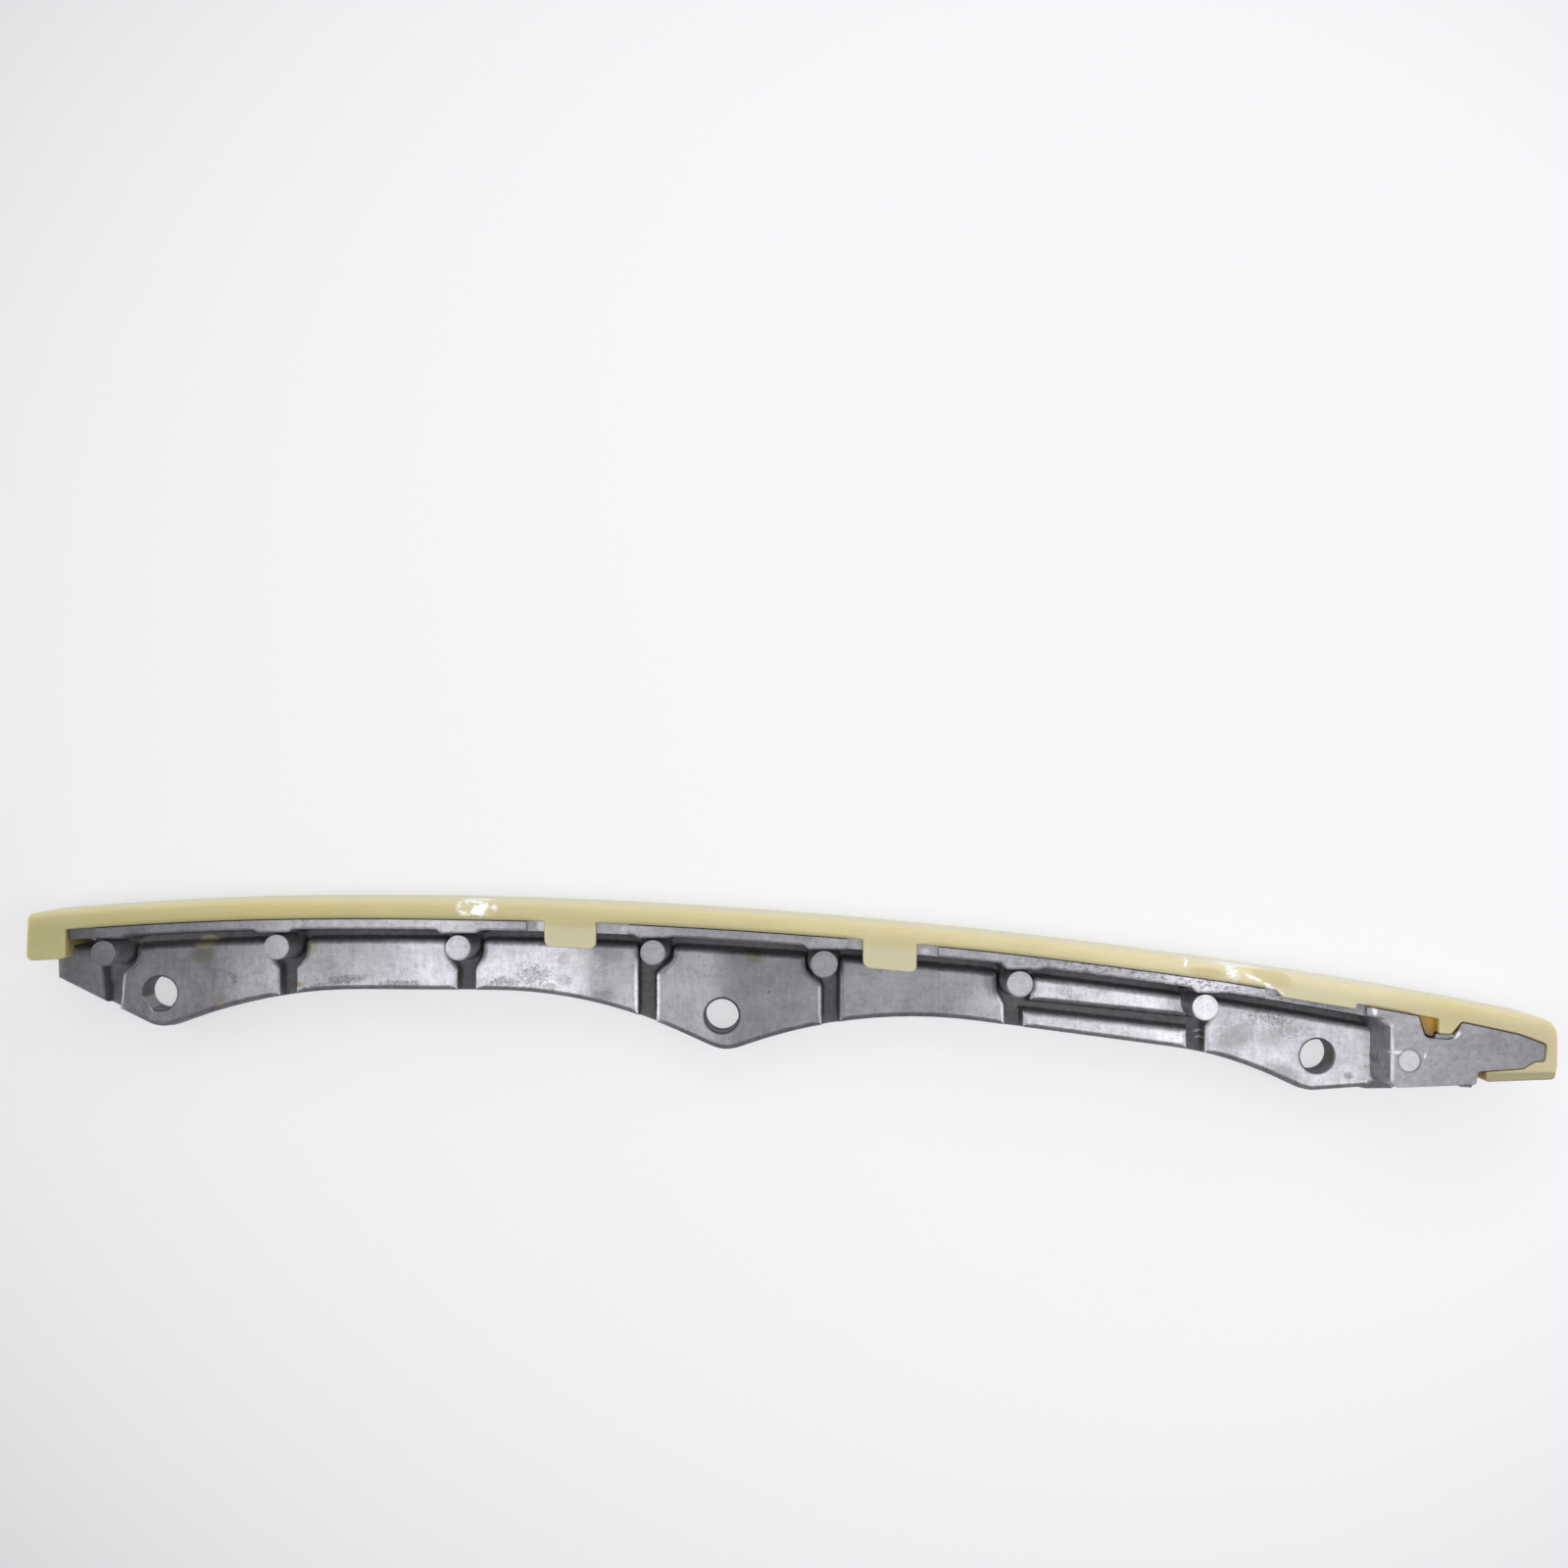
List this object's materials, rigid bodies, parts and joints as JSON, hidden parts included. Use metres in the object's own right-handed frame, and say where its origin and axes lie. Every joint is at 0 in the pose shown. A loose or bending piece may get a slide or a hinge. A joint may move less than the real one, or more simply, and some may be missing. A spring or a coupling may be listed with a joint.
{
  "type": "timing chain guide",
  "caption": "Curved timing chain guide: a cast aluminium bracket with grooved web and bolt holes, and a cream nylon slipper clipped over its flange.",
  "frame": {"origin": "middle of the box on the bracket's flat mounting face", "axes": "+X along the guide from the end with the short hook to the end with the tongue, +Y towards the running face, +Z from the mounting face to the front of the flange"},
  "size_m": [0.3124, 0.041, 0.0181],
  "materials": {
    "cast_aluminium": "die-cast, dull, with oil stains",
    "natural_nylon": "natural cream nylon, smooth and slightly translucent"
  },
  "bodies": {
    "root": {"guide_bracket": "cast_aluminium", "slipper": "natural_nylon"}
  },
  "joints": []
}
